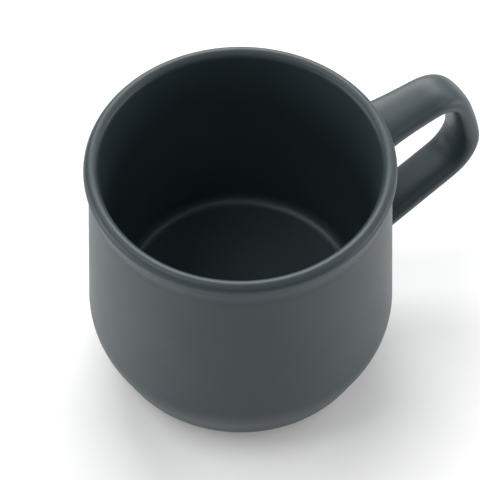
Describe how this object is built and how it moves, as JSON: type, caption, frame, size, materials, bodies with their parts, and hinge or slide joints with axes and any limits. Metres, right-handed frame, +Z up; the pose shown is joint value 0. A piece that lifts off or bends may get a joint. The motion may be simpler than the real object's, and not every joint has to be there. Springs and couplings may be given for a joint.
{
  "type": "ceramic mug",
  "caption": "Heavy-walled charcoal stoneware mug with a rolled lip, a rounded base, a bare foot ring and a rounded strap handle.",
  "frame": {"origin": "on the cup's axis, in the plane that the foot ring stands on", "axes": "+Z up along the cup's axis towards the mouth, +X out through the handle, +Y across the handle"},
  "size_m": [0.1199, 0.086, 0.078],
  "materials": {
    "bisque": "bare fired stoneware, fine grain, matt",
    "slip": "fired joining slip, matt",
    "charcoal_glaze": "satin-matt charcoal glaze"
  },
  "bodies": {
    "root": {"cup_body": "bisque", "handle": "bisque", "upper_slip_joint": "slip", "lower_slip_joint": "slip", "outer_glaze": "charcoal_glaze", "liner_glaze": "charcoal_glaze", "handle_glaze": "charcoal_glaze", "base_glaze": "charcoal_glaze"}
  },
  "joints": []
}
